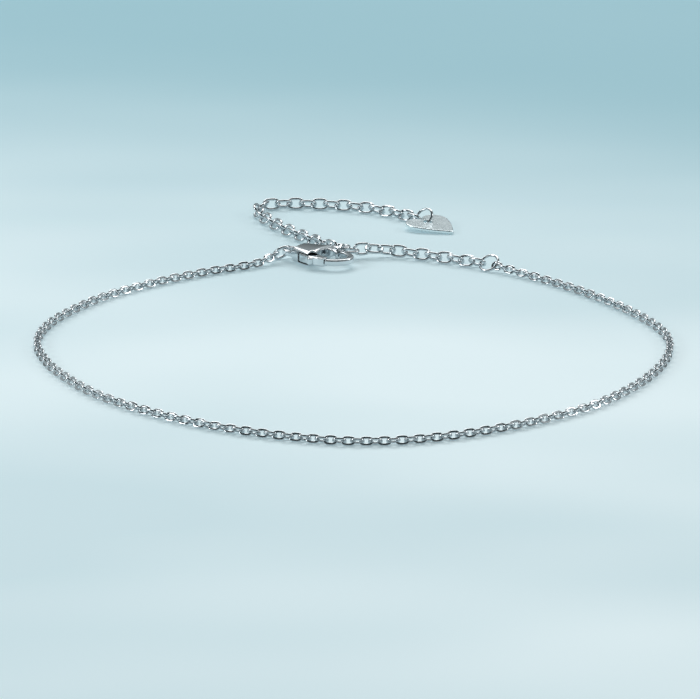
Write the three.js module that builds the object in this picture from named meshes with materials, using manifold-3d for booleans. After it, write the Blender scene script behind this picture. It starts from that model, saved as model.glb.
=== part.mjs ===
// Chain anklet lying on a flat surface: a fine cable chain, closed by a lobster clasp on one link
// of a coarser extender chain, whose free end carries a heart tag.
// Lengths are in millimetres. X runs to the right, Y away from the viewer and Z up.
import * as THREE from 'three';
import { mergeVertices } from 'three/addons/utils/BufferGeometryUtils.js';
import Module from 'manifold-3d';

const wasm = await Module();
wasm.setup();

// Fine cable chain: one tube of the links' outer size, with a real link at each end
const CHAIN_LINK_LENGTH = 1.54;
const CHAIN_LINK_WIDTH = 1.2;
const CHAIN_WIRE = 0.27;
const CHAIN_TUBE_DIAMETER = 1.0;
const CHAIN_END_REACH = 0.4;

// Extender chain: oval links of round wire
const EXTENDER_LINK_LENGTH = 2.45;
const EXTENDER_LINK_WIDTH = 1.84;
const EXTENDER_WIRE = 0.38;

// Jump rings: outer diameter and wire of each
const CLASP_RING_DIAMETER = 2.75;
const EXTENDER_RING_DIAMETER = 2.75;
const TAG_RING_DIAMETER = 2.75;
const CLASP_RING_WIRE = 0.36;
const EXTENDER_RING_WIRE = 0.36;
const TAG_RING_WIRE = 0.33;

// Lobster clasp: a thick barrel between a flat tail eye and a slim hook
const CLASP_LENGTH = 10.0;
const CLASP_WIDTH = 5.2;
const CLASP_THICKNESS = 2.1;
const HOOK_THICKNESS = 0.8;
const HOOK_BAND = 0.84;
const EYE_RADIUS = 1.15;
const EYE_HOLE_RADIUS = 0.75;
const THROAT_LENGTH = 3.6;
const LEVER_THICKNESS = 1.1;
const LEVER_REACH = 3.5;
const LEVER_ROOT_WIDTH = 2.0;
const LEVER_TIP_WIDTH = 0.8;
const THUMB_TAB_RADIUS = 0.42;
const PIN_RADIUS = 0.3;
const LEVER_SWING = 22;
const HOOK_ROUNDING = 0.2;
const BELLY_SHARE = 0.12;
const EYE_FLARE = 1.1;
const EYE_FLARE_REACH = 0.26;
const BELLY_REACH = 0.57;
const BARREL_LEVEL_REACH = 0.8;
const BARREL_TAIL_REACH = 0.8;
const BARREL_FRONT_SHARE = 0.2;
const THUMB_TAB_SHARE = 0.8;
const SLOT_STEPS = 4;
const SLOT_OVERSWING = 1.05;
const SLOT_DEPTH_SHARE = 0.25;
const LEVER_ROUNDING = 0.14;
const BARREL_ROUNDING = 0.62;

// Heart tag: a flat plate with a hole below its notch
const TAG_LENGTH = 6.5;
const TAG_WIDTH = 6.3;
const TAG_THICKNESS = 0.45;
const TAG_HOLE_RADIUS = 0.55;
const TAG_HOLE_MARGIN = 0.4;
const TAG_ROUNDING = 0.12;
const LOBE_SHARE = 0.266;
const SHOULDER_ANGLE = 66;
const BULGE_SHARE = 0.56;

// Clearances
const LINK_PLAY = 0.07;
const LINK_SLACK = 0.12;
const RING_PLAY = 0.2;
const EYE_PLAY = 0.3;
const LEVER_CLEARANCE = 0.12;
const BORE_CLEARANCE = 0.08;
const TAG_RING_CLEARANCE = 0.06;

// How the pieces lie, in degrees and millimetres
const CHAIN_ROLL = 45;
const CLASP_YAW = -31;
const CLASP_RING_YAW = 35;
const CLASP_RING_LEAN = 130;
const EXTENDER_RING_LEAN = -38;
const TAG_RING_LEAN = 50;
const TAG_YAW = -46;
const TAG_TILT = 5;
const HELD_LINK_TILT = 22;
const HELD_LINK_PLACE = 1.9;
const TWISTED_LINKS = 4;

// Places of the held link's two neighbours, in wire thicknesses
const NEIGHBOUR_REACH = 0.9;
const NEIGHBOUR_STEP = 0.7;
const NEIGHBOUR_SHIFT = 0.58;

// Routes of the chains on the surface, points chosen by hand: x, y and the rise over the height
// at which the links lie
const CHAIN_ROUTE = [
  [-10.1, 23.3, 0.45], [-11.7, 21.6, 0.1], [-14.0, 20.2, 0], [-17.3, 18.4, 0], [-20.8, 16.0, 0],
  [-24.1, 13.4, 0], [-27.1, 10.6, 0], [-29.8, 7.6, 0], [-32.0, 4.4, 0], [-33.8, 1.1, 0],
  [-35.4, -2.4, 0], [-36.5, -6.1, 0], [-37.0, -9.8, 0], [-36.9, -13.4, 0], [-36.1, -17.2, 0],
  [-34.7, -21.6, 0], [-32.6, -26.0, 0], [-29.9, -30.6, 0], [-26.5, -34.7, 0], [-22.1, -38.7, 0],
  [-17.3, -42.2, 0], [-12.0, -45.1, 0], [-6.4, -47.3, 0], [-0.5, -48.7, 0], [5.4, -48.4, 0],
  [11.2, -46.6, 0], [16.9, -43.7, 0], [22.1, -40.1, 0], [26.8, -35.9, 0], [31.0, -30.3, 0],
  [34.3, -24.0, 0], [36.4, -17.4, 0], [37.0, -11.4, 0], [36.3, -6.6, 0], [34.6, -2.0, 0],
  [32.3, 2.6, 0], [29.5, 7.1, 0], [26.3, 11.3, 0], [22.7, 15.3, 0], [18.1, 19.3, 0.25],
];
const HELD_ROUTE = [
  [13.9, 22.2, 0], [11.1, 23.7, 0], [8.3, 25.0, 0.05], [5.5, 25.9, 0.2], [2.5, 26.0, 0.45],
];
const FREE_ROUTE = [
  [-3.2, 27.6, 0.5], [-4.7, 30.4, 0.2], [-6.3, 33.1, 0.05], [-7.9, 35.6, 0], [-9.4, 38.1, 0],
  [-10.8, 40.8, 0], [-11.9, 43.6, 0], [-12.2, 46.3, 0], [-11.2, 48.5, 0], [-8.7, 49.1, 0],
  [-5.3, 48.9, 0], [-2.0, 48.4, 0], [1.2, 47.3, 0], [4.0, 45.7, 0], [6.6, 43.6, 0],
  [9.1, 41.1, 0],
];

// Facets
const LINK_SIDES = 12;
const WIRE_SIDES = 6;
const RING_SIDES = 16;
const TUBE_SIDES = 8;
const TUBE_STEPS = 80;
const CURVE_SEGMENTS = 10;
const LEVER_SEGMENTS = 7;
const ROUNDING_STEPS = 3;
const POINT_SPACING = 0.01;
const ROUTE_SAMPLES = 2000;

const UP = new THREE.Vector3(0, 0, 1);
const silver = { color: 0xd9dde0, metalness: 1, roughness: 0.16 };
const satinSilver = { color: 0xc9d2d6, metalness: 1, roughness: 0.32 };

const anklet = new THREE.Group();

function addPiece(parent, name, geometry, finish) {
  const piece = new THREE.Mesh(geometry, new THREE.MeshStandardMaterial(finish));
  piece.name = name;
  parent.add(piece);
  return piece;
}

// Solids for joining and cutting, made from a closed mesh without its triangles of no area
function solidOf(geometry) {
  const bare = geometry.clone();
  bare.deleteAttribute('normal');
  bare.deleteAttribute('uv');
  const merged = mergeVertices(bare, 1e-4);
  const index = merged.getIndex().array;
  const corners = [];
  for (let i = 0; i < index.length; i += 3) {
    const [a, b, c] = index.slice(i, i + 3);
    if (a !== b && b !== c && c !== a) corners.push(a, b, c);
  }
  return new wasm.Manifold(new wasm.Mesh({
    numProp: 3,
    vertProperties: new Float32Array(merged.getAttribute('position').array),
    triVerts: new Uint32Array(corners),
  }));
}

function geometryOf(solid) {
  const mesh = solid.getMesh();
  const geometry = new THREE.BufferGeometry();
  geometry.setAttribute('position', new THREE.BufferAttribute(mesh.vertProperties, 3));
  geometry.setIndex(new THREE.BufferAttribute(mesh.triVerts, 1));
  geometry.computeVertexNormals();
  return geometry;
}

// An outline as plain points, none of them twice
function spacedPoints(points) {
  return points.filter((point, i) => {
    const last = points[(i + points.length - 1) % points.length];
    return point.distanceTo(last) > POINT_SPACING;
  });
}

// A flat plate of a given outline, half above and half below its own plane
function plate(outline, thickness, rounding = 0) {
  const depth = thickness - 2 * rounding;
  const { shape, holes } = outline.extractPoints(CURVE_SEGMENTS);
  const spaced = new THREE.Shape(spacedPoints(shape));
  spaced.holes = holes.map((hole) => new THREE.Path(spacedPoints(hole)));
  const geometry = new THREE.ExtrudeGeometry(spaced, {
    depth,
    bevelEnabled: rounding > 0,
    bevelThickness: rounding,
    bevelSize: rounding,
    bevelOffset: -rounding,
    bevelSegments: ROUNDING_STEPS,
  });
  return geometry.translate(0, 0, -depth / 2);
}

function disc(x, y, radius) {
  const outline = new THREE.Shape();
  outline.absarc(x, y, radius, 0, 2 * Math.PI, false);
  return outline;
}

function box(minX, maxX, minY, maxY, height) {
  const geometry = new THREE.BoxGeometry(maxX - minX, maxY - minY, height);
  return geometry.translate((minX + maxX) / 2, (minY + maxY) / 2, 0);
}

// A link is a torus whose two halves are moved apart, its length along X and its hole along Z
function linkGeometry(length, width, wire, sides = LINK_SIDES) {
  const ring = new THREE.TorusGeometry((width - wire) / 2, wire / 2, WIRE_SIDES, sides);
  ring.rotateZ(Math.PI / sides);
  const position = ring.getAttribute('position');
  const shift = (length - width) / 2;
  for (let i = 0; i < position.count; i += 1) {
    position.setX(i, position.getX(i) + Math.sign(position.getX(i)) * shift);
  }
  return ring;
}

const ringGeometry = (diameter, wire) => linkGeometry(diameter, diameter, wire, RING_SIDES);

// Turns a link's length to a direction, and rolls its flat side up from the surface
function linkMatrix(centre, direction, roll) {
  const along = direction.clone().normalize();
  const side = new THREE.Vector3().crossVectors(UP, along).normalize();
  const top = new THREE.Vector3().crossVectors(along, side);
  const angle = THREE.MathUtils.degToRad(roll);
  const across = side.multiplyScalar(Math.cos(angle)).addScaledVector(top, Math.sin(angle));
  const normal = new THREE.Vector3().crossVectors(along, across);
  return new THREE.Matrix4().makeBasis(along, across, normal).setPosition(centre);
}

// Height of a rolled link's centre when its wire touches the surface
function restingHeight(width, wire, roll) {
  return wire / 2 + ((width - wire) / 2) * Math.abs(Math.sin(THREE.MathUtils.degToRad(roll)));
}

// Half of a link's open length, which is how far its neighbour can be pulled out
const reach = (length, wire) => length / 2 - wire;

// Lobster clasp, drawn with its length along X, its hook's tip and lever at the -Y side
const eyeX = -CLASP_LENGTH / 2 + EYE_RADIUS;
const bellyX = BELLY_SHARE * CLASP_LENGTH;
const throatFront = CLASP_LENGTH / 2 - HOOK_BAND;
const throatHalfWidth = CLASP_WIDTH / 2 - HOOK_BAND;
const pivot = new THREE.Vector2(-0.09 * CLASP_LENGTH, -0.215 * CLASP_WIDTH);
const leverBend = new THREE.Vector2(0.07 * CLASP_LENGTH, -0.405 * CLASP_WIDTH);
const leverTip = new THREE.Vector2(0.27 * CLASP_LENGTH, -0.405 * CLASP_WIDTH);
const thumbTab = new THREE.Vector2(0.05 * CLASP_LENGTH, -CLASP_WIDTH / 2);
const slotHeight = LEVER_THICKNESS + 2 * LEVER_CLEARANCE;

function claspOutline() {
  const outline = new THREE.Shape();
  const half = CLASP_WIDTH / 2;
  const reachX = bellyX - eyeX;
  outline.moveTo(eyeX, EYE_RADIUS);
  outline.bezierCurveTo(
    eyeX + EYE_FLARE_REACH * reachX, EYE_RADIUS * EYE_FLARE, eyeX + BELLY_REACH * reachX, half,
    bellyX, half);
  outline.absellipse(
    bellyX, 0, CLASP_LENGTH / 2 - bellyX, half, Math.PI / 2, -Math.PI / 2, true);
  outline.bezierCurveTo(
    eyeX + BELLY_REACH * reachX, -half, eyeX + EYE_FLARE_REACH * reachX, -EYE_RADIUS * EYE_FLARE,
    eyeX, -EYE_RADIUS);
  outline.absarc(eyeX, 0, EYE_RADIUS, -Math.PI / 2, Math.PI / 2, true);
  return outline;
}

// The throat keeps the hook's band even: its front runs along the hook, its back is blunter
function throatOutline() {
  const frontReach = throatFront - bellyX;
  const outline = new THREE.Shape();
  outline.absellipse(
    bellyX, 0, frontReach, throatHalfWidth, -Math.PI / 2, Math.PI / 2, false);
  outline.absellipse(
    bellyX, 0, THROAT_LENGTH - frontReach, throatHalfWidth, Math.PI / 2, 1.5 * Math.PI, false);
  return outline;
}

// The lever's outline follows a bent centre line, with its own allowance on either side
function leverOutline(inner = 0, outer = 0) {
  const line = new THREE.QuadraticBezierCurve(pivot, leverBend, leverTip);
  const insidePoints = [];
  const outsidePoints = [];
  for (let i = 0; i <= LEVER_SEGMENTS; i += 1) {
    const share = i / LEVER_SEGMENTS;
    const point = line.getPoint(share);
    const along = line.getTangent(share);
    const half = THREE.MathUtils.lerp(LEVER_ROOT_WIDTH, LEVER_TIP_WIDTH, share) / 2;
    const left = new THREE.Vector2(-along.y, along.x);
    insidePoints.push(point.clone().addScaledVector(left, half + inner));
    outsidePoints.push(point.clone().addScaledVector(left, -half - outer));
  }
  return new THREE.Shape([...insidePoints, ...outsidePoints.reverse()]);
}

function leverSolid() {
  const arm = solidOf(plate(leverOutline(), LEVER_THICKNESS, LEVER_ROUNDING));
  const root = plate(disc(pivot.x, pivot.y, LEVER_ROOT_WIDTH / 2), LEVER_THICKNESS, LEVER_ROUNDING);
  const tab = plate(
    disc(thumbTab.x, thumbTab.y, THUMB_TAB_RADIUS), LEVER_THICKNESS * THUMB_TAB_SHARE,
    LEVER_ROUNDING);
  const sweep = plate(disc(pivot.x, pivot.y, LEVER_REACH), LEVER_THICKNESS * 2);
  const bore = plate(disc(pivot.x, pivot.y, PIN_RADIUS + BORE_CLEARANCE), LEVER_THICKNESS * 2);
  return arm.add(solidOf(root)).add(solidOf(tab)).intersect(solidOf(sweep))
    .subtract(solidOf(bore));
}

// The space that the lever needs between the barrel's two cheeks, from closed to open
function leverSlot() {
  const wide = CLASP_WIDTH * SLOT_DEPTH_SHARE;
  let slot = solidOf(
    plate(disc(pivot.x, pivot.y, LEVER_ROOT_WIDTH / 2 + LEVER_CLEARANCE), slotHeight));
  for (let i = 0; i <= SLOT_STEPS; i += 1) {
    const turn = THREE.MathUtils.degToRad((LEVER_SWING * SLOT_OVERSWING * i) / SLOT_STEPS);
    const blade = plate(leverOutline(LEVER_CLEARANCE, wide), slotHeight);
    blade.translate(-pivot.x, -pivot.y, 0).rotateZ(turn).translate(pivot.x, pivot.y, 0);
    slot = slot.add(solidOf(blade));
  }
  const sweep = plate(disc(pivot.x, pivot.y, LEVER_REACH + LEVER_CLEARANCE), slotHeight * 2);
  return slot.intersect(solidOf(sweep));
}

// The barrel swells from the tail, is level over the lever's pivot and falls away to the hook
function barrelSolid() {
  const low = HOOK_THICKNESS / 4;
  const high = CLASP_THICKNESS / 2;
  const stations = [
    [eyeX + EYE_HOLE_RADIUS * BARREL_TAIL_REACH, low],
    [pivot.x - LEVER_ROOT_WIDTH * BARREL_LEVEL_REACH, high],
    [0, high],
    [throatFront - THROAT_LENGTH * (0.5 + BARREL_FRONT_SHARE), low],
  ];
  const profile = new THREE.Shape();
  profile.moveTo(stations[0][0], -low);
  profile.lineTo(stations[0][0], low);
  for (let i = 1; i < stations.length; i += 1) {
    const [fromX, fromZ] = stations[i - 1];
    const [toX, toZ] = stations[i];
    const middle = (fromX + toX) / 2;
    profile.bezierCurveTo(middle, fromZ, middle, toZ, toX, toZ);
  }
  for (let i = stations.length - 1; i > 0; i -= 1) {
    const [fromX, fromZ] = stations[i];
    const [toX, toZ] = stations[i - 1];
    const middle = (fromX + toX) / 2;
    if (i === stations.length - 1) profile.lineTo(fromX, -fromZ);
    profile.bezierCurveTo(middle, -fromZ, middle, -toZ, toX, -toZ);
  }
  const side = plate(profile, CLASP_WIDTH * 2).rotateX(Math.PI / 2);
  return solidOf(plate(claspOutline(), CLASP_THICKNESS, BARREL_ROUNDING))
    .intersect(solidOf(side))
    .subtract(solidOf(plate(throatOutline(), CLASP_THICKNESS * 2)));
}

function claspBodySolid() {
  const outline = claspOutline();
  outline.holes.push(throatOutline());
  const frame = solidOf(plate(outline, HOOK_THICKNESS, HOOK_ROUNDING));
  const eyeHole = solidOf(plate(disc(eyeX, 0, EYE_HOLE_RADIUS), CLASP_THICKNESS * 2));
  const swing = plate(
    disc(pivot.x, pivot.y, LEVER_REACH + LEVER_CLEARANCE), CLASP_THICKNESS * 2);
  const front = box(0, CLASP_LENGTH, -CLASP_WIDTH, pivot.y - PIN_RADIUS, CLASP_THICKNESS * 2);
  const mouth = solidOf(swing).intersect(solidOf(front));
  const pin = plate(disc(pivot.x, pivot.y, PIN_RADIUS), CLASP_THICKNESS - 2 * LEVER_CLEARANCE);
  return frame.add(barrelSolid()).subtract(eyeHole).subtract(leverSlot()).subtract(mouth)
    .add(solidOf(pin));
}

// Fine chain, with its first and last link standing out of the tube's ends
const chainRoute = new THREE.CatmullRomCurve3(
  CHAIN_ROUTE.map(([x, y, rise]) => new THREE.Vector3(x, y, CHAIN_TUBE_DIAMETER / 2 + rise)),
  false, 'centripetal');
chainRoute.arcLengthDivisions = ROUTE_SAMPLES;
const chainReach = reach(CHAIN_LINK_LENGTH, CHAIN_WIRE);

function chainEnd(share, outward) {
  const direction = chainRoute.getTangentAt(share).multiplyScalar(outward);
  const centre = chainRoute.getPointAt(share).addScaledVector(direction, CHAIN_END_REACH);
  return { direction, centre };
}

const chainStart = chainEnd(0, -1);
const chainFinish = chainEnd(1, 1);

function chainSolid() {
  const section = new THREE.Shape();
  for (let i = 0; i < TUBE_SIDES; i += 1) {
    const angle = (2 * Math.PI * i) / TUBE_SIDES;
    const x = (CHAIN_TUBE_DIAMETER / 2) * Math.cos(angle);
    const y = (CHAIN_TUBE_DIAMETER / 2) * Math.sin(angle);
    if (i === 0) section.moveTo(x, y);
    else section.lineTo(x, y);
  }
  const tube = new THREE.ExtrudeGeometry(section, {
    steps: TUBE_STEPS, bevelEnabled: false, extrudePath: chainRoute,
  });
  let solid = solidOf(tube);
  for (const { centre, direction } of [chainStart, chainFinish]) {
    const link = linkGeometry(CHAIN_LINK_LENGTH, CHAIN_LINK_WIDTH, CHAIN_WIRE);
    link.applyMatrix4(linkMatrix(centre, direction, CHAIN_ROLL));
    solid = solid.add(solidOf(link));
  }
  return solid;
}

addPiece(anklet, 'main_chain', geometryOf(chainSolid()), silver);

// A jump ring leans on the surface and takes in the end of its neighbour at the neighbour's height
function ringPlace(diameter, wire, lean, from, direction, neighbourReach) {
  const height = restingHeight(diameter, wire, lean);
  const drop = (height - from.z) / Math.sin(THREE.MathUtils.degToRad(Math.abs(lean)));
  const inner = diameter / 2 - wire;
  const chord = Math.sqrt(inner ** 2 - drop ** 2);
  const level = new THREE.Vector3(direction.x, direction.y, 0).normalize();
  const distance = neighbourReach + chord - RING_PLAY;
  return from.clone().addScaledVector(level, distance).setZ(height);
}

// Jump ring between the fine chain and the clasp's tail eye
const claspRingCentre = ringPlace(
  CLASP_RING_DIAMETER, CLASP_RING_WIRE, CLASP_RING_LEAN, chainStart.centre, chainStart.direction,
  chainReach);
const towardsClasp = new THREE.Vector3(1, 0, 0).applyAxisAngle(
  UP, THREE.MathUtils.degToRad(CLASP_RING_YAW));
const claspRing = addPiece(
  anklet, 'clasp_jump_ring', ringGeometry(CLASP_RING_DIAMETER, CLASP_RING_WIRE), silver);
claspRing.applyMatrix4(linkMatrix(claspRingCentre, towardsClasp, CLASP_RING_LEAN));

// The clasp lies with its tail eye on the ring
const clasp = new THREE.Group();
const claspTurn = THREE.MathUtils.degToRad(CLASP_YAW);
const eyeDistance = EYE_HOLE_RADIUS + reach(CLASP_RING_DIAMETER, CLASP_RING_WIRE) - EYE_PLAY;
clasp.rotation.z = claspTurn;
clasp.position.copy(claspRingCentre).addScaledVector(towardsClasp, eyeDistance)
  .sub(new THREE.Vector3(eyeX, 0, 0).applyAxisAngle(UP, claspTurn)).setZ(CLASP_THICKNESS / 2);
anklet.add(clasp);
addPiece(clasp, 'clasp_body', geometryOf(claspBodySolid()), silver);
addPiece(clasp, 'clasp_lever', geometryOf(leverSolid()), silver);
clasp.updateMatrixWorld(true);

// A place on the clasp, given in its own drawing, as a place on the surface
const onClasp = (x, y, z = 0) => clasp.localToWorld(new THREE.Vector3(x, y, z));

// Jump ring between the fine chain's other end and the extender
const extenderRingCentre = ringPlace(
  EXTENDER_RING_DIAMETER, EXTENDER_RING_WIRE, EXTENDER_RING_LEAN, chainFinish.centre,
  chainFinish.direction, chainReach);
const extenderRing = addPiece(
  anklet, 'extender_jump_ring', ringGeometry(EXTENDER_RING_DIAMETER, EXTENDER_RING_WIRE), silver);
extenderRing.applyMatrix4(
  linkMatrix(extenderRingCentre, chainFinish.direction, EXTENDER_RING_LEAN));

// The held link goes round the back of the hook, its outer end a little raised
const heldTilt = THREE.MathUtils.degToRad(HELD_LINK_TILT);
const heldDirection = onClasp(0, Math.cos(heldTilt), Math.sin(heldTilt)).sub(onClasp(0, 0));
const bandY = (CLASP_WIDTH / 2 + throatHalfWidth) / 2;
const bandPlace = onClasp(HELD_LINK_PLACE, bandY);
const extenderReach = reach(EXTENDER_LINK_LENGTH, EXTENDER_WIRE);
const heldShift = extenderReach - HOOK_BAND / 2 - 2 * LINK_PLAY;
const heldCentre = bandPlace.clone().addScaledVector(heldDirection, heldShift);
const neighboursPlace = heldCentre.clone().addScaledVector(
  heldDirection, extenderReach + NEIGHBOUR_REACH * EXTENDER_WIRE);
const nearWire = (extenderReach + NEIGHBOUR_REACH * EXTENDER_WIRE) * Math.cos(heldTilt)
  - (EXTENDER_LINK_WIDTH - EXTENDER_WIRE) / 2;
neighboursPlace.z = heldCentre.z + nearWire * Math.tan(heldTilt);

// Extender: links along a route that passes the held link's outer end, each rolled against the
// next, and all turned a little so that the held link's neighbours lie across it
const layingHeight = restingHeight(EXTENDER_LINK_WIDTH, EXTENDER_WIRE, CHAIN_ROLL);
const raised = ([x, y, rise]) => new THREE.Vector3(x, y, layingHeight + rise);
const extenderRoute = new THREE.CatmullRomCurve3(
  [extenderRingCentre, ...HELD_ROUTE.map(raised), neighboursPlace, ...FREE_ROUTE.map(raised)],
  false, 'centripetal');
extenderRoute.arcLengthDivisions = ROUTE_SAMPLES;

function lengthAtPoint(curve, pointIndex) {
  const share = pointIndex / (curve.points.length - 1);
  return curve.getLengths()[Math.round(curve.arcLengthDivisions * share)];
}

const hookLength = lengthAtPoint(extenderRoute, HELD_ROUTE.length + 1);
const freeLength = extenderRoute.getLength();
const neighbourStep = extenderReach - EXTENDER_WIRE * NEIGHBOUR_STEP;
const neighbourShift = EXTENDER_WIRE * NEIGHBOUR_SHIFT;
const layingPitch = 2 * extenderReach - LINK_SLACK;
const tagRingReach = reach(TAG_RING_DIAMETER, TAG_RING_WIRE);

// Places of the links along the route, evenly between two stops and nearly as far apart as usual
function placesBetween(from, to) {
  const gaps = Math.round((to - from) / layingPitch);
  return Array.from({ length: gaps + 1 }, (_, i) => from + ((to - from) * i) / gaps);
}

const beforeHook = placesBetween(
  reach(EXTENDER_RING_DIAMETER, EXTENDER_RING_WIRE) + extenderReach - RING_PLAY,
  hookLength - neighbourStep);
const afterHook = placesBetween(
  hookLength + neighbourStep, freeLength - tagRingReach - extenderReach + RING_PLAY);
const heldIndex = beforeHook.length;
const linkCount = heldIndex + 1 + afterHook.length;

function rollOf(index) {
  const base = (i) => (i % 2 === 0 ? CHAIN_ROLL : -CHAIN_ROLL);
  const twist = -base(heldIndex - 1);
  const steps = Math.abs(index - heldIndex) - 1;
  return base(index) + twist * Math.max(1 - steps / TWISTED_LINKS, 0);
}

for (let index = 0; index < linkCount; index += 1) {
  const name = `extender_link_${String(index + 1).padStart(2, '0')}`;
  const link = addPiece(
    anklet, name, linkGeometry(EXTENDER_LINK_LENGTH, EXTENDER_LINK_WIDTH, EXTENDER_WIRE), silver);
  if (index === heldIndex) {
    link.applyMatrix4(linkMatrix(heldCentre, heldDirection, 90));
  } else {
    const place = index < heldIndex ? beforeHook[index] : afterHook[index - heldIndex - 1];
    const centre = extenderRoute.getPointAt(place / freeLength);
    const roll = rollOf(index);
    centre.z = Math.max(centre.z, restingHeight(EXTENDER_LINK_WIDTH, EXTENDER_WIRE, roll));
    link.applyMatrix4(linkMatrix(centre, extenderRoute.getTangentAt(place / freeLength), roll));
    if (Math.abs(index - heldIndex) === 1) link.translateZ((index - heldIndex) * neighbourShift);
  }
}

// Heart tag, drawn with its point along +X and its lobes' centres at X = 0
const lobeRadius = LOBE_SHARE * TAG_WIDTH;
const lobeY = TAG_WIDTH / 2 - lobeRadius;
const notchX = -Math.sqrt(lobeRadius ** 2 - lobeY ** 2);
const pointX = TAG_LENGTH - lobeRadius;
const tagHoleX = notchX + TAG_HOLE_MARGIN + TAG_HOLE_RADIUS;

function heartOutline() {
  const outline = new THREE.Shape();
  const notchAngle = Math.atan2(-lobeY, notchX);
  const shoulder = THREE.MathUtils.degToRad(SHOULDER_ANGLE);
  const shoulderX = lobeRadius * Math.cos(shoulder);
  const shoulderY = lobeY + lobeRadius * Math.sin(shoulder);
  const bulgeX = BULGE_SHARE * pointX;
  const bulgeY = shoulderY - (bulgeX - shoulderX) / Math.tan(shoulder);
  outline.absarc(0, lobeY, lobeRadius, notchAngle + 2 * Math.PI, shoulder, true);
  outline.quadraticCurveTo(bulgeX, bulgeY, pointX, 0);
  outline.quadraticCurveTo(bulgeX, -bulgeY, shoulderX, -shoulderY);
  outline.absarc(0, -lobeY, lobeRadius, -shoulder, -notchAngle - 2 * Math.PI, true);
  outline.holes.push(disc(tagHoleX, 0, TAG_HOLE_RADIUS));
  return outline;
}

// The ring stands on the surface at the route's end; the tag's notch side rests over its wire
const tagRingLean = -Math.sign(rollOf(linkCount - 1)) * TAG_RING_LEAN;
const tagRingHeight = restingHeight(TAG_RING_DIAMETER, TAG_RING_WIRE, TAG_RING_LEAN);
const tagRingCentre = extenderRoute.getPointAt(1).setZ(tagRingHeight);
const tagDirection = new THREE.Vector3(1, 0, 0).applyAxisAngle(
  UP, THREE.MathUtils.degToRad(TAG_YAW));
const tagRing = addPiece(
  anklet, 'tag_jump_ring', ringGeometry(TAG_RING_DIAMETER, TAG_RING_WIRE), silver);
tagRing.applyMatrix4(linkMatrix(tagRingCentre, tagDirection, tagRingLean));

const tag = new THREE.Group();
addPiece(tag, 'heart_tag', plate(heartOutline(), TAG_THICKNESS, TAG_ROUNDING), satinSilver);
const tagTilt = THREE.MathUtils.degToRad(TAG_TILT);
const ringDepth = tagRingHeight - TAG_RING_WIRE - TAG_RING_CLEARANCE - TAG_THICKNESS / 2;
const ringMean = (TAG_RING_DIAMETER - TAG_RING_WIRE) / 2;
const ringLean = THREE.MathUtils.degToRad(tagRingLean);
const ringChord = Math.sqrt(ringMean ** 2 - (ringDepth / Math.sin(ringLean)) ** 2);
const tagSide = new THREE.Vector3().crossVectors(UP, tagDirection);
const tagPlace = tagRingCentre.clone().addScaledVector(tagDirection, ringChord - tagHoleX)
  .addScaledVector(tagSide, -ringDepth / Math.tan(ringLean));
tagPlace.z = TAG_THICKNESS / 2 + pointX * Math.sin(tagTilt);
tag.position.copy(tagPlace);
tag.rotation.set(0, tagTilt, THREE.MathUtils.degToRad(TAG_YAW), 'ZYX');
anklet.add(tag);

// The origin is the middle of the whole anklet, on the surface
anklet.updateMatrixWorld(true);
const bounds = new THREE.Box3().setFromObject(anklet, true);
const middle = bounds.getCenter(new THREE.Vector3());
const group = new THREE.Group();
group.add(anklet);
anklet.position.set(-middle.x, -middle.y, -bounds.min.z);
group.updateMatrixWorld(true);

export default group;
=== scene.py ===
# A silver chain anklet on a pale surface: fine flattened cable chain, lobster clasp, extender of
# oval links and a heart tag. Lengths are in metres, +Z is up.
import math

import bpy
import numpy as np
from mathutils import Matrix, Vector


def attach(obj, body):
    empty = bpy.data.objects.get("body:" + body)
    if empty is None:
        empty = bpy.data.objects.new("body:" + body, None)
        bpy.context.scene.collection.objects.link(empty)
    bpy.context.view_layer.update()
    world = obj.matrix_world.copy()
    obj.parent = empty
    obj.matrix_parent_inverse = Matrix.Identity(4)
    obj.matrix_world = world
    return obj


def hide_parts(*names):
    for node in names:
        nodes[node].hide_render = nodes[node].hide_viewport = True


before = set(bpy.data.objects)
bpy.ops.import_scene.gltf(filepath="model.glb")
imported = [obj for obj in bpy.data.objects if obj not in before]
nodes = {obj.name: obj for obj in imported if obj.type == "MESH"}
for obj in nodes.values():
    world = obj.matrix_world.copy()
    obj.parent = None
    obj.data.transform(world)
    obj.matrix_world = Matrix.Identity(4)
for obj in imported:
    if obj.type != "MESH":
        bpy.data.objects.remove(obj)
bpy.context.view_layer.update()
MM = 0.001
put_in_scene = bpy.context.scene.collection.objects.link


# Shader sockets that can be added, multiplied and mixed as numbers
class Shade:
    def __init__(self, tree, socket):
        self.tree = tree
        self.socket = socket

    def node(self, kind, inputs=(), output=0, **settings):
        made = self.tree.nodes.new(kind)
        for name, value in settings.items():
            setattr(made, name, value)
        for name, value in dict(inputs).items():
            if isinstance(value, Shade):
                self.tree.links.new(value.socket, made.inputs[name])
            else:
                made.inputs[name].default_value = value
        return Shade(self.tree, made.outputs[output])

    def maths(self, operation, other=0.0):
        return self.node("ShaderNodeMath", {0: self, 1: other}, operation=operation)

    def __add__(self, other):
        return self.maths("ADD", other)

    def __mul__(self, other):
        return self.maths("MULTIPLY", other)

    def __sub__(self, other):
        return self.maths("SUBTRACT", other)

    def __rsub__(self, other):
        return self * -1.0 + other

    def band(self, low, high, shape="LINEAR"):
        return self.node(
            "ShaderNodeMapRange", {"Value": self, "From Min": low, "From Max": high},
            interpolation_type=shape)

    def blend(self, low, high):
        return self.node(
            "ShaderNodeMix", {"Factor": self, "A": low, "B": high}, 2, data_type="RGBA")


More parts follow.
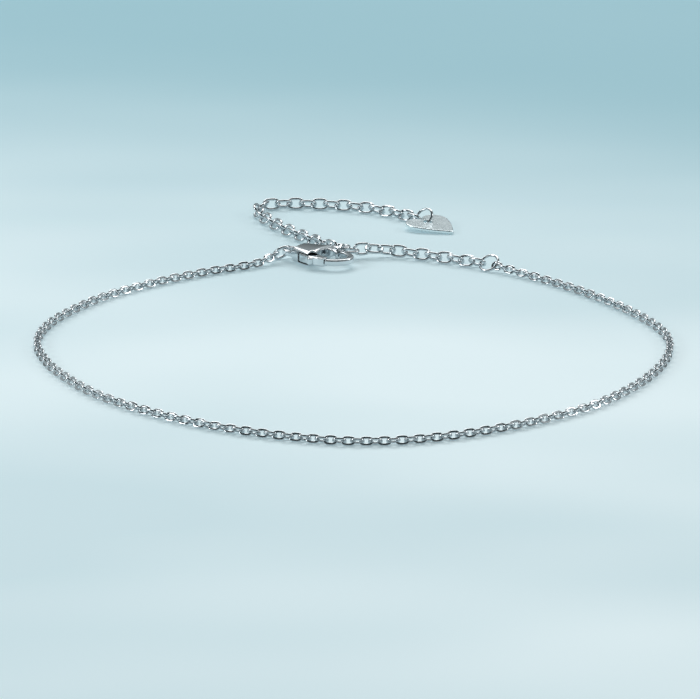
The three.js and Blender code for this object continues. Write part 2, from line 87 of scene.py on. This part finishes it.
# A new material, its shader, and the place on the object for its patterns
def new_material(name):
    material = bpy.data.materials.new(name)
    material.use_nodes = True
    tree = material.node_tree
    shader = tree.nodes["Principled BSDF"]
    place = tree.nodes.new("ShaderNodeTexCoord")
    return material, shader, Shade(tree, place.outputs["Object"])


def noise(place, scale, detail=2.0):
    return place.node("ShaderNodeTexNoise", {"Vector": place, "Scale": scale, "Detail": detail})


# Rhodium-bright polished silver, with polishing marks and a trace of handling haze in patches.
# The scales are of its noise, and the shares say how far marks and patches darken or dull it.
HAZE_SCALE = 700.0
MARK_SCALE = 9000.0
MARK_DEPTH = 0.01 * MM
MARK_SHADE = 0.3
MARK_HAZE = 0.35
PATCH_SHADE = 0.8
PLAIN_HAZE = 0.95
DULLED = 0.9


def polished_silver(name, tint, haze, grain, patches=0.5):
    material, shader, place = new_material(name)
    cloud = noise(place, HAZE_SCALE, 3.0).band(0.35, 0.7)
    marks = noise(place, MARK_SCALE).band(0.3, 0.75)
    darker = tuple(DULLED * c for c in tint[:3]) + (1.0,)
    colour = (cloud * (PATCH_SHADE * patches) + marks * MARK_SHADE).blend(tint, darker)
    rough = cloud * (haze * patches) + marks * (haze * MARK_HAZE) + haze * (PLAIN_HAZE - patches)
    bump = place.node("ShaderNodeBump", {
        "Strength": grain, "Distance": MARK_DEPTH, "Height": marks})
    shader.inputs["Metallic"].default_value = 1.0
    material.node_tree.links.new(colour.socket, shader.inputs["Base Color"])
    material.node_tree.links.new(rough.socket, shader.inputs["Roughness"])
    material.node_tree.links.new(bump.socket, shader.inputs["Normal"])
    return material


silver = polished_silver("polished_silver", (0.69, 0.72, 0.74, 1.0), haze=0.06, grain=0.12)
cast_silver = polished_silver("cast_silver", (0.74, 0.77, 0.79, 1.0), haze=0.1, grain=0.2)


# A mesh object in the scene, smooth-shaded, of one material
def new_piece(name, vertices, faces, material):
    mesh = bpy.data.meshes.new(name)
    mesh.from_pydata([tuple(v) for v in vertices], [], faces)
    mesh.materials.append(material)
    mesh.shade_smooth()
    piece = bpy.data.objects.new(name, mesh)
    put_in_scene(piece)
    return piece


# Wire of a rounded section bent along a closed or nearly closed flat oval, hole along Z
BEND_TO_SIDE = 3.0


def bent_wire(length, width, tall, wide, gap=0.0, steps=36, sides=12, squareness=1.0):
    mean_x = (length - width) / 2
    radius = (width - wide) / 2
    vertices = []
    spread = 2 * math.pi - gap / radius
    rings = steps + 1 if gap else steps
    for i in range(rings):
        turn = math.pi / 2 + gap / (2 * radius) + spread * i / steps
        out = Vector((math.cos(turn), math.sin(turn), 0.0))
        shift = mean_x * max(-1.0, min(1.0, out.x * BEND_TO_SIDE))
        centre = out * radius + Vector((shift, 0.0, 0.0))
        for j in range(sides):
            angle = 2 * math.pi * (j + 0.5) / sides
            flat_x, flat_z = (
                math.copysign(abs(f) ** squareness, f) for f in (math.cos(angle), math.sin(angle)))
            vertices.append(centre + out * (wide / 2 * flat_x) + Vector((0, 0, tall / 2 * flat_z)))
    faces = []
    for i in range(rings - 1 if gap else rings):
        for j in range(sides):
            here = i * sides
            ahead = (i + 1) % rings * sides
            beside = (j + 1) % sides
            faces.append((here + j, ahead + j, ahead + beside, here + beside))
    if gap:
        faces.append(tuple(range(sides)))
        faces.append(tuple(reversed(range((rings - 1) * sides, rings * sides))))
    return vertices, faces


# Where a link, a ring or the clasp lies in the frame: its middle, and its length, width and
# thickness as axes
def place_of(name):
    points = np.array([v.co[:] for v in nodes[name].data.vertices])
    middle = (points.min(0) + points.max(0)) / 2
    centred = points - points.mean(0)
    axes = np.linalg.eigh(centred.T @ centred)[1]
    along, across = Vector(axes[:, 2]), Vector(axes[:, 1])
    turn = Matrix((along, across, along.cross(across))).transposed()
    return Matrix.Translation(Vector(middle)) @ turn.to_4x4()


# Fine cable chain: 202 flattened links, alternately rolled to either side, along the frame's tube.
# The route is in millimetres, with the rise over the chain's usual height as its third number.
CHAIN_ROUTE = [
    (-10.1, 23.3, 0.45), (-11.7, 21.6, 0.1), (-14.0, 20.2, 0), (-17.3, 18.4, 0), (-20.8, 16.0, 0),
    (-24.1, 13.4, 0), (-27.1, 10.6, 0), (-29.8, 7.6, 0), (-32.0, 4.4, 0), (-33.8, 1.1, 0),
    (-35.4, -2.4, 0), (-36.5, -6.1, 0), (-37.0, -9.8, 0), (-36.9, -13.4, 0), (-36.1, -17.2, 0),
    (-34.7, -21.6, 0), (-32.6, -26.0, 0), (-29.9, -30.6, 0), (-26.5, -34.7, 0), (-22.1, -38.7, 0),
    (-17.3, -42.2, 0), (-12.0, -45.1, 0), (-6.4, -47.3, 0), (-0.5, -48.7, 0), (5.4, -48.4, 0),
    (11.2, -46.6, 0), (16.9, -43.7, 0), (22.1, -40.1, 0), (26.8, -35.9, 0), (31.0, -30.3, 0),
    (34.3, -24.0, 0), (36.4, -17.4, 0), (37.0, -11.4, 0), (36.3, -6.6, 0), (34.6, -2.0, 0),
    (32.3, 2.6, 0), (29.5, 7.1, 0), (26.3, 11.3, 0), (22.7, 15.3, 0), (18.1, 19.3, 0.25),
]
# From the route's own origin to the frame's
FRAME_SHIFT = Vector((0.0024, -0.2699, 0.0155)) * MM
CHAIN_LINKS = 202
# Long enough that neighbours bear on one another without running into each other
CHAIN_LINK = (1.64 * MM, 1.2 * MM)
CHAIN_WIRE = (0.24 * MM, 0.31 * MM)
FLATTENING = 0.5
CHAIN_HEIGHT = 0.5 * MM
CHAIN_END = 0.4 * MM
ROLL = math.radians(45)
UNEVENNESS = math.radians(7)
SEED = 4


# Centripetal Catmull-Rom curve through the route's points, as a dense list of places
def smooth_route(points, samples=24):
    points = [2 * points[0] - points[1], *points, 2 * points[-1] - points[-2]]
    route = []
    for p0, p1, p2, p3 in zip(points, points[1:], points[2:], points[3:]):
        d0, d1, d2 = ((b - a).length ** 0.5 for a, b in ((p0, p1), (p1, p2), (p2, p3)))
        start = ((p1 - p0) / d0 - (p2 - p0) / (d0 + d1) + (p2 - p1) / d1) * d1
        end = ((p2 - p1) / d1 - (p3 - p1) / (d1 + d2) + (p3 - p2) / d2) * d1
        for i in range(samples):
            t = i / samples
            route.append(
                p1 * (2 * t ** 3 - 3 * t ** 2 + 1) + start * (t ** 3 - 2 * t ** 2 + t)
                + p2 * (3 * t ** 2 - 2 * t ** 3) + end * (t ** 3 - t ** 2))
    route.append(points[-2])
    return route


stops = [
    Vector((x * MM, y * MM, CHAIN_HEIGHT + rise * MM)) + FRAME_SHIFT for x, y, rise in CHAIN_ROUTE]
route = smooth_route(stops)
route.insert(0, route[0] + (route[0] - route[1]).normalized() * CHAIN_END)
route.append(route[-1] + (route[-1] - route[-2]).normalized() * CHAIN_END)
curve = bpy.data.curves.new("chain_route", "CURVE")
curve.dimensions = "3D"
line = curve.splines.new("POLY")
line.points.add(len(route) - 1)
for point, spot in zip(line.points, route):
    point.co = (*spot, 1.0)
chain_source = bpy.data.objects.new("chain_route", curve)
put_in_scene(chain_source)
fine_wire, fine_faces = bent_wire(*CHAIN_LINK, *CHAIN_WIRE, steps=28, squareness=FLATTENING)
fine_link = new_piece("fine_link", fine_wire, fine_faces, silver)

# The chain's geometry nodes: even points on the route, each with a link rolled about the route
tree = bpy.data.node_groups.new("cable_chain", "GeometryNodeTree")
tree.interface.new_socket("Curve", in_out="INPUT", socket_type="NodeSocketGeometry")
for label, kind, value in (
        ("Links", "NodeSocketInt", CHAIN_LINKS), ("Roll", "NodeSocketFloat", ROLL),
        ("Unevenness", "NodeSocketFloat", UNEVENNESS), ("Seed", "NodeSocketInt", SEED)):
    tree.interface.new_socket(label, in_out="INPUT", socket_type=kind).default_value = value
tree.interface.new_socket("Link", in_out="INPUT", socket_type="NodeSocketObject")
tree.interface.new_socket("Material", in_out="INPUT", socket_type="NodeSocketMaterial")
tree.interface.new_socket("Chain", in_out="OUTPUT", socket_type="NodeSocketGeometry")


def add(kind, inputs=(), **settings):
    made = tree.nodes.new(kind)
    for name, value in settings.items():
        setattr(made, name, value)
    for name, value in dict(inputs).items():
        if isinstance(value, bpy.types.NodeSocket):
            tree.links.new(value, made.inputs[name])
        else:
            made.inputs[name].default_value = value
    return made.outputs


given = add("NodeGroupInput")
dots = add("GeometryNodeCurveToPoints", {"Curve": given["Curve"], "Count": given["Links"]})
index = add("GeometryNodeInputIndex")[0]
odd = add("ShaderNodeMath", {0: index, 1: 2.0}, operation="MODULO")[0]
hand = add("ShaderNodeMath", {0: odd, 1: 2.0, 2: -1.0}, operation="MULTIPLY_ADD")[0]
roll = add("ShaderNodeMath", {0: hand, 1: given["Roll"]}, operation="MULTIPLY")[0]
chance = add(
    "FunctionNodeRandomValue", {2: -1.0, 3: 1.0, "Seed": given["Seed"]}, data_type="FLOAT")[1]
uneven = add(
    "ShaderNodeMath", {0: chance, 1: given["Unevenness"], 2: roll}, operation="MULTIPLY_ADD")[0]
# X of a link lies along the route, which is Z of the points' own rotation
lie = add("FunctionNodeRotateRotation", {
    "Rotation": dots["Rotation"],
    "Rotate By": add("FunctionNodeEulerToRotation", {0: (0.0, -math.pi / 2, 0.0)})[0],
}, rotation_space="LOCAL")[0]
spin = add("ShaderNodeCombineXYZ", {"X": uneven})[0]
turned = add("FunctionNodeRotateRotation", {
    "Rotation": lie,
    "Rotate By": add("FunctionNodeEulerToRotation", {0: spin})[0],
}, rotation_space="LOCAL")[0]
pattern = add("GeometryNodeObjectInfo", {"Object": given["Link"]})
linked = add("GeometryNodeInstanceOnPoints", {
    "Points": dots["Points"], "Instance": pattern["Geometry"], "Rotation": turned})
solid = add("GeometryNodeRealizeInstances", {"Geometry": linked[0]})
dressed = add("GeometryNodeSetMaterial", {"Geometry": solid[0], "Material": given["Material"]})
tree.links.new(dressed[0], tree.nodes.new("NodeGroupOutput").inputs["Chain"])

modifier = chain_source.modifiers.new("links", "NODES")
modifier.node_group = tree
sockets = {item.name: item.identifier for item in tree.interface.items_tree}
modifier[sockets["Link"]] = fine_link
modifier[sockets["Material"]] = silver
fine_link.hide_render = True
shown = chain_source.evaluated_get(bpy.context.evaluated_depsgraph_get())
chain = bpy.data.objects.new("fine_chain", bpy.data.meshes.new_from_object(shown))
put_in_scene(chain)
bpy.data.objects.remove(chain_source)
bpy.data.objects.remove(fine_link)
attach(chain, "anklet")
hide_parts("main_chain")


# Extender: oval links of round wire, each soldered shut, lying as the frame's links do
EXTENDER_LINK = (2.45 * MM, 1.84 * MM)
EXTENDER_WIRE = 0.38 * MM
link_names = sorted(name for name in nodes if name.startswith("extender_link_"))
oval, oval_faces = bent_wire(*EXTENDER_LINK, EXTENDER_WIRE, EXTENDER_WIRE, steps=32)
vertices, faces = [], []
for name in link_names:
    lie_of_link = place_of(name)
    first = len(vertices)
    vertices += [lie_of_link @ v for v in oval]
    faces += [tuple(first + corner for corner in face) for face in oval_faces]
extender = new_piece("extender_chain", vertices, faces, silver)
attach(extender, "anklet")
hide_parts(*link_names)

# Jump rings: round wire bent to a ring, its ends butted with a hair of a gap
RING_DIAMETER = 2.75 * MM
RING_GAP = 0.03 * MM
RING_WIRES = {
    "clasp_jump_ring": 0.36 * MM, "extender_jump_ring": 0.36 * MM, "tag_jump_ring": 0.33 * MM}
for name, wire in RING_WIRES.items():
    circle, faces = bent_wire(
        RING_DIAMETER, RING_DIAMETER, wire, wire, gap=RING_GAP, steps=48, sides=14)
    lie_of_ring = place_of(name)
    ring = new_piece("ring_" + name, [lie_of_ring @ v for v in circle], faces, silver)
    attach(ring, "anklet")
    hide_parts(name)


# Cast pieces: the frame's solid with its edges softened as tumbling softens them. It is worked on
# in millimetres, and so are the weld's reach and the grain.
WELD = 0.002


def softened(name, source, grain, rounds, material):
    mesh = nodes[source].data.copy()
    mesh.transform(nodes[source].matrix_world)
    mesh.transform(Matrix.Scale(1 / MM, 4))
    piece = bpy.data.objects.new(name, mesh)
    put_in_scene(piece)
    weld = piece.modifiers.new("weld", "WELD")
    weld.merge_threshold = WELD
    grid = piece.modifiers.new("grid", "REMESH")
    grid.mode = "VOXEL"
    grid.voxel_size = grain
    soften = piece.modifiers.new("soften", "SMOOTH")
    soften.factor = 0.5
    soften.iterations = rounds
    shown = piece.evaluated_get(bpy.context.evaluated_depsgraph_get())
    finished = bpy.data.meshes.new_from_object(shown)
    piece.modifiers.clear()
    finished.transform(Matrix.Scale(MM, 4))
    finished.materials.clear()
    finished.materials.append(material)
    finished.shade_smooth()
    piece.data = finished
    return piece


# Clasp: one casting of tail eye, barrel and hook, brightly polished, its two faces crowned
CLASP_HALF_WIDTH = 2.6 * MM
CROWN_START = 0.7 * MM
CROWN = 0.7
clasp = softened("lobster_clasp", "clasp_body", grain=0.06, rounds=12, material=cast_silver)
lying = place_of("clasp_body")
upright = lying.inverted()
for vertex in clasp.data.vertices:
    spot = upright @ vertex.co
    proud = max(abs(spot.z) - CROWN_START, 0.0)
    spot.z -= math.copysign(CROWN * proud * (spot.y / CLASP_HALF_WIDTH) ** 2, spot.z)
    vertex.co = lying @ spot
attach(clasp, "anklet")
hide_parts("clasp_body")

# Lever of the clasp, on its pin
lever = softened("lever", "clasp_lever", grain=0.05, rounds=4, material=cast_silver)
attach(lever, "lever")
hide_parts("clasp_lever")

# Heart tag: stamped from sheet with broken edges, its face level and finely satined
tag_silver = polished_silver(
    "tag_silver", (0.84, 0.92, 0.94, 1.0), haze=0.27, grain=0.03, patches=0.1)
tag_mesh = nodes["heart_tag"].data.copy()
tag_mesh.transform(nodes["heart_tag"].matrix_world)
stamped = bpy.data.objects.new("heart_stamping", tag_mesh)
put_in_scene(stamped)
stamped.modifiers.new("weld", "WELD").merge_threshold = WELD * MM
shown = stamped.evaluated_get(bpy.context.evaluated_depsgraph_get())
tag = bpy.data.objects.new("heart", bpy.data.meshes.new_from_object(shown))
tag.data.materials.clear()
tag.data.materials.append(tag_silver)
# The two broad faces stay level, and only the edges round off
LEVEL_ENOUGH = 0.999
level = max(tag.data.polygons, key=lambda face: face.area).normal.copy()
for face in tag.data.polygons:
    face.use_smooth = abs(face.normal.dot(level)) < LEVEL_ENOUGH
put_in_scene(tag)
bpy.data.objects.remove(stamped)
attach(tag, "anklet")
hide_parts("heart_tag")

# Surface: pale cyan board with a soft sheen, with painted shade darkening it towards its far side,
# soft streaks of painted light and shade, and a painted glow of its own tone
STREAK_SCALE = 8.0
STREAK_STRETCH = (1.0, 2.2, 1.0)
BOARD_IN_SHADE = (0.30, 0.52, 0.59, 1.0)
BOARD_PALE = (0.81, 0.93, 0.96, 1.0)
PAINTED_BOARD_GLOW = 0.26
FAR_SHADE_SLANT = 0.35
FAR_SHADE_REACH = 0.14
FAR_SHADE = 0.95
PAINTED_STREAK_SHARE = 0.35
PLAIN_SHARE = 0.62
BOARD_X = (-1.5, 1.5)
BOARD_Y = (-1.0, 2.5)
material, shader, place = new_material("pale_surface")
# Painted light and shade: soft streaks of lighter and darker tone across the board
stretched = place.node("ShaderNodeVectorMath", {0: place, 1: STREAK_STRETCH}, operation="MULTIPLY")
painted_light_streaks = noise(stretched, STREAK_SCALE).band(0.35, 0.65)
across = place.node("ShaderNodeSeparateXYZ", {0: place}, 0)
away = place.node("ShaderNodeSeparateXYZ", {0: place}, 1)
# Painted shade: the board's colour darkens towards its far side, towards the shaded tone
far_shade = (away + across * FAR_SHADE_SLANT).band(0.0, FAR_SHADE_REACH, "SMOOTHSTEP")
board = (1.0 - far_shade * FAR_SHADE) * (painted_light_streaks * PAINTED_STREAK_SHARE + PLAIN_SHARE)
board_tone = board.blend(BOARD_IN_SHADE, BOARD_PALE).socket
material.node_tree.links.new(board_tone, shader.inputs["Base Color"])
# Painted light: the board glows with its own tone, brightening itself and lighting the metal from
# below
material.node_tree.links.new(board_tone, shader.inputs["Emission Color"])
shader.inputs["Emission Strength"].default_value = PAINTED_BOARD_GLOW
shader.inputs["Roughness"].default_value = 0.5
shader.inputs["Specular IOR Level"].default_value = 0.35
corners = [(x, y, 0) for y in BOARD_Y for x in BOARD_X]
floor = new_piece("surface", corners, [(0, 1, 3, 2)], material)

# Light: a broad soft one from above and behind, and small ones from the left and the right
LIGHTS = (
    ("back", (-0.06, 0.48, 0.66), 0.8, 0.5, 3.3, (1.0, 1.0, 1.0)),
    ("left", (-0.5, -0.1, 0.3), 0.15, 0.2, 0.7, (0.95, 0.98, 1.0)),
    ("right", (0.55, 0.1, 0.35), 0.12, 0.2, 0.5, (1.0, 1.0, 1.0)),
)
for name, spot, width, height, strength, tint in LIGHTS:
    light = bpy.data.lights.new(name, "AREA")
    light.shape = "RECTANGLE"
    light.size = width
    light.size_y = height
    light.energy = strength
    light.color = tint
    lamp = bpy.data.objects.new(name, light)
    lamp.location = spot
    lamp.rotation_euler = (-Vector(spot)).to_track_quat("-Z", "Y").to_euler()
    put_in_scene(lamp)

# Room that the metal mirrors: a dark ceiling above and a little in front, and bright walls with
# a few soft stripes
ROOM_DARK = (0.015, 0.03, 0.035, 1.0)
ROOM_BRIGHT = (0.9, 0.98, 1.0, 1.0)
ROOM_STRENGTH = 0.95
CEILING_SHADE = 0.94
WALL_SHARE = 0.38
STRIPE_SHARE = 0.2
ROOM_BASE = 0.08
world = bpy.data.worlds.new("studio")
world.use_nodes = True
bpy.context.scene.world = world
sky = world.node_tree
gaze = Shade(sky, sky.nodes.new("ShaderNodeTexCoord").outputs["Generated"])
side, depth, rise = (gaze.node("ShaderNodeSeparateXYZ", {0: gaze}, axis) for axis in range(3))
ceiling = (side * -0.12 - depth * 0.32 + rise * 0.94).band(0.5, 0.68)
stripe = (side * 11.0 + depth * 5.0).maths("SINE").band(-0.4, 0.9)
walls = rise.band(0.05, 0.6) * WALL_SHARE + stripe * STRIPE_SHARE + ROOM_BASE
room_tone = (walls * (1.0 - ceiling * CEILING_SHADE)).blend(ROOM_DARK, ROOM_BRIGHT).socket
sky.links.new(room_tone, sky.nodes["Background"].inputs["Color"])
sky.nodes["Background"].inputs["Strength"].default_value = ROOM_STRENGTH

# Camera, as the photograph was taken
FOCAL_LENGTH = 231.4
SENSOR_WIDTH = 36.0
VIEWER = Vector((-0.397, -515.593, 154.667)) * MM
LOOKING_DOWN = 17.107
camera = bpy.data.cameras.new("camera")
camera.lens = FOCAL_LENGTH
camera.sensor_width = SENSOR_WIDTH
camera.clip_start = 0.01
viewer = bpy.data.objects.new("camera", camera)
viewer.location = VIEWER + FRAME_SHIFT
viewer.rotation_euler = (math.radians(90 - LOOKING_DOWN), 0.0, 0.0)
put_in_scene(viewer)
bpy.context.scene.camera = viewer

bpy.context.scene.view_settings.view_transform = "Standard"
